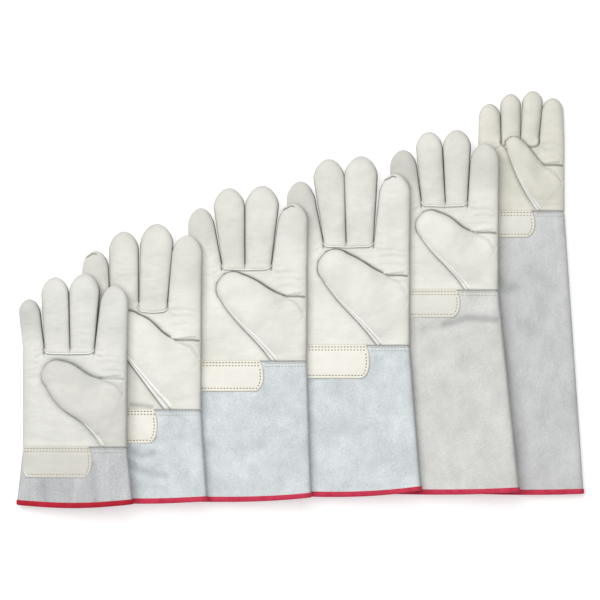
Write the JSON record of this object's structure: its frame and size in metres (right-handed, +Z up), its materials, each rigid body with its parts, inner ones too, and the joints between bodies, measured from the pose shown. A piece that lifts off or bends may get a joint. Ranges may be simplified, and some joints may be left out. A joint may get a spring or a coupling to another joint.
{
  "type": "beekeeping gloves",
  "caption": "Row of cream leather gauntlet gloves for beekeeping, palms up, with suede cuffs of growing length, wrist tabs and bound hems.",
  "frame": {"origin": "floor under the middle of the row of six gloves", "axes": "+X across the row from the shortest gauntlet to the longest, +Y to the fingertips, +Z up, out of the palms"},
  "size_m": [0.5958, 0.434, 0.0494],
  "materials": {
    "grain_leather": "soft cream grain leather",
    "tab_leather": "smooth ivory grain leather",
    "split_leather_grey": "brushed grey split suede",
    "split_leather_blue": "brushed pale blue-grey split suede",
    "split_leather_warm": "brushed warm grey split suede",
    "hem_tape": "woven raspberry red binding tape",
    "thread": "golden yellow sewing thread",
    "welt": "white leather seam welt"
  },
  "bodies": {
    "glove6": {"glove6_palm": "grain_leather", "glove6_back": "grain_leather", "glove6_cuff": "split_leather_grey", "glove6_wrist_tab": "tab_leather", "glove6_hem_binding": "hem_tape"},
    "glove5": {"glove5_palm": "grain_leather", "glove5_back": "grain_leather", "glove5_cuff": "split_leather_warm", "glove5_wrist_tab": "tab_leather", "glove5_hem_binding": "hem_tape", "glove5_little_finger": "grain_leather"},
    "glove4": {"glove4_palm": "grain_leather", "glove4_back": "grain_leather", "glove4_cuff": "split_leather_blue", "glove4_wrist_tab": "tab_leather", "glove4_hem_binding": "hem_tape", "glove4_little_finger": "grain_leather"},
    "glove3": {"glove3_palm": "grain_leather", "glove3_back": "grain_leather", "glove3_cuff": "split_leather_blue", "glove3_wrist_tab": "tab_leather", "glove3_hem_binding": "hem_tape", "glove3_little_finger": "grain_leather"},
    "glove2": {"glove2_palm": "grain_leather", "glove2_back": "grain_leather", "glove2_cuff": "split_leather_blue", "glove2_wrist_tab": "tab_leather", "glove2_hem_binding": "hem_tape", "glove2_little_finger": "grain_leather", "glove2_ring_finger": "grain_leather", "glove2_thumb": "grain_leather"},
    "glove1": {"glove1_palm": "grain_leather", "glove1_back": "grain_leather", "glove1_cuff": "split_leather_grey", "glove1_wrist_tab": "tab_leather", "glove1_hem_binding": "hem_tape"},
    "glove1_little": {"glove1_little_finger": "grain_leather"},
    "glove1_ring": {"glove1_ring_finger": "grain_leather"},
    "glove1_middle": {"glove1_middle_finger": "grain_leather"},
    "glove1_index": {"glove1_index_finger": "grain_leather"},
    "glove1_thumb": {"glove1_thumb": "grain_leather"},
    "glove2_middle": {"glove2_middle_finger": "grain_leather"},
    "glove2_index": {"glove2_index_finger": "grain_leather"},
    "glove3_ring": {"glove3_ring_finger": "grain_leather"},
    "glove3_middle": {"glove3_middle_finger": "grain_leather"},
    "glove3_index": {"glove3_index_finger": "grain_leather"},
    "glove3_thumb": {"glove3_thumb": "grain_leather"},
    "glove4_ring": {"glove4_ring_finger": "grain_leather"},
    "glove4_middle": {"glove4_middle_finger": "grain_leather"},
    "glove4_index": {"glove4_index_finger": "grain_leather"},
    "glove4_thumb": {"glove4_thumb": "grain_leather"},
    "glove5_ring": {"glove5_ring_finger": "grain_leather"},
    "glove5_middle": {"glove5_middle_finger": "grain_leather"},
    "glove5_index": {"glove5_index_finger": "grain_leather"},
    "glove5_thumb": {"glove5_thumb": "grain_leather"},
    "glove6_little": {"glove6_little_finger": "grain_leather"},
    "glove6_ring": {"glove6_ring_finger": "grain_leather"},
    "glove6_middle": {"glove6_middle_finger": "grain_leather"},
    "glove6_index": {"glove6_index_finger": "grain_leather"},
    "glove6_thumb": {"glove6_thumb": "grain_leather"}
  },
  "joints": [
    {"name": "glove5_lift", "type": "slide", "parent": "glove6", "child": "glove5", "axis": [0, 0, 1], "range_m": [0, 0.05]},
    {"name": "glove4_lift", "type": "slide", "parent": "glove5", "child": "glove4", "axis": [0, 0, 1], "range_m": [0, 0.05]},
    {"name": "glove3_lift", "type": "slide", "parent": "glove4", "child": "glove3", "axis": [0, 0, 1], "range_m": [0, 0.05]},
    {"name": "glove2_lift", "type": "slide", "parent": "glove3", "child": "glove2", "axis": [0, 0, 1], "range_m": [0, 0.05]},
    {"name": "glove1_lift", "type": "slide", "parent": "glove2", "child": "glove1", "axis": [0, 0, 1], "range_m": [0, 0.05]},
    {"name": "glove1_little_curl", "type": "hinge", "parent": "glove1", "child": "glove1_little", "pos_m": [-0.28101, -0.053, 0.01585], "axis": [0.9706, 0, 0.2408], "range_deg": [0, 80]},
    {"name": "glove1_ring_curl", "type": "hinge", "parent": "glove1", "child": "glove1_ring", "pos_m": [-0.25524, -0.053, 0.02224], "axis": [0.9706, 0, 0.2408], "range_deg": [0, 80]},
    {"name": "glove1_middle_curl", "type": "hinge", "parent": "glove1", "child": "glove1_middle", "pos_m": [-0.22879, -0.053, 0.0288], "axis": [0.9706, 0, 0.2408], "range_deg": [0, 80]},
    {"name": "glove1_index_curl", "type": "hinge", "parent": "glove1", "child": "glove1_index", "pos_m": [-0.19817, -0.053, 0.0364], "axis": [0.9706, 0, 0.2408], "range_deg": [0, 80]},
    {"name": "glove1_thumb_open", "type": "hinge", "parent": "glove1", "child": "glove1_thumb", "pos_m": [-0.20921, -0.1545, 0.03397], "axis": [0.3865, 0.9173, 0.0959], "range_deg": [0, 85]},
    {"name": "glove2_middle_curl", "type": "hinge", "parent": "glove2", "child": "glove2_middle", "pos_m": [-0.15407, -0.0045, 0.02226], "axis": [0.9913, 0, 0.1316], "range_deg": [0, 80]},
    {"name": "glove2_index_curl", "type": "hinge", "parent": "glove2", "child": "glove2_index", "pos_m": [-0.12056, -0.0045, 0.0267], "axis": [0.9913, 0, 0.1316], "range_deg": [0, 80]},
    {"name": "glove3_ring_curl", "type": "hinge", "parent": "glove3", "child": "glove3_ring", "pos_m": [-0.07001, 0.035, 0.0191], "axis": [0.99, 0, 0.1409], "range_deg": [0, 80]},
    {"name": "glove3_middle_curl", "type": "hinge", "parent": "glove3", "child": "glove3_middle", "pos_m": [-0.04402, 0.035, 0.0228], "axis": [0.99, 0, 0.1409], "range_deg": [0, 80]},
    {"name": "glove3_index_curl", "type": "hinge", "parent": "glove3", "child": "glove3_index", "pos_m": [-0.0108, 0.035, 0.02753], "axis": [0.99, 0, 0.1409], "range_deg": [0, 80]},
    {"name": "glove3_thumb_open", "type": "hinge", "parent": "glove3", "child": "glove3_thumb", "pos_m": [-0.03169, -0.0645, 0.02486], "axis": [0.6127, 0.7855, 0.0872], "range_deg": [0, 85]},
    {"name": "glove4_ring_curl", "type": "hinge", "parent": "glove4", "child": "glove4_ring", "pos_m": [0.03634, 0.0585, 0.01909], "axis": [0.9909, 0, 0.1345], "range_deg": [0, 80]},
    {"name": "glove4_middle_curl", "type": "hinge", "parent": "glove4", "child": "glove4_middle", "pos_m": [0.0626, 0.0585, 0.02266], "axis": [0.9909, 0, 0.1345], "range_deg": [0, 80]},
    {"name": "glove4_index_curl", "type": "hinge", "parent": "glove4", "child": "glove4_index", "pos_m": [0.09659, 0.0585, 0.02727], "axis": [0.9909, 0, 0.1345], "range_deg": [0, 80]},
    {"name": "glove4_thumb_open", "type": "hinge", "parent": "glove4", "child": "glove4_thumb", "pos_m": [0.07891, -0.048, 0.02517], "axis": [0.619, 0.7809, 0.084], "range_deg": [0, 85]},
    {"name": "glove5_ring_curl", "type": "hinge", "parent": "glove5", "child": "glove5_ring", "pos_m": [0.13959, 0.101, 0.01971], "axis": [0.9866, 0, 0.1631], "range_deg": [0, 80]},
    {"name": "glove5_middle_curl", "type": "hinge", "parent": "glove5", "child": "glove5_middle", "pos_m": [0.16376, 0.101, 0.02371], "axis": [0.9866, 0, 0.1631], "range_deg": [0, 80]},
    {"name": "glove5_index_curl", "type": "hinge", "parent": "glove5", "child": "glove5_index", "pos_m": [0.19218, 0.101, 0.02841], "axis": [0.9866, 0, 0.1631], "range_deg": [0, 80]},
    {"name": "glove5_thumb_open", "type": "hinge", "parent": "glove5", "child": "glove5_thumb", "pos_m": [0.17136, 0.01, 0.02527], "axis": [0.6385, 0.7624, 0.1056], "range_deg": [0, 85]},
    {"name": "glove6_little_curl", "type": "hinge", "parent": "glove6", "child": "glove6_little", "pos_m": [0.19864, 0.1695, 0.012], "axis": [1, 0, 0], "range_deg": [0, 80]},
    {"name": "glove6_ring_curl", "type": "hinge", "parent": "glove6", "child": "glove6_ring", "pos_m": [0.2217, 0.1695, 0.012], "axis": [1, 0, 0], "range_deg": [0, 80]},
    {"name": "glove6_middle_curl", "type": "hinge", "parent": "glove6", "child": "glove6_middle", "pos_m": [0.24169, 0.1695, 0.012], "axis": [1, 0, 0], "range_deg": [0, 80]},
    {"name": "glove6_index_curl", "type": "hinge", "parent": "glove6", "child": "glove6_index", "pos_m": [0.26549, 0.1695, 0.012], "axis": [1, 0, 0], "range_deg": [0, 80]},
    {"name": "glove6_thumb_open", "type": "hinge", "parent": "glove6", "child": "glove6_thumb", "pos_m": [0.24694, 0.093, 0.0123], "axis": [0.7421, 0.6703, 0], "range_deg": [0, 85]}
  ]
}
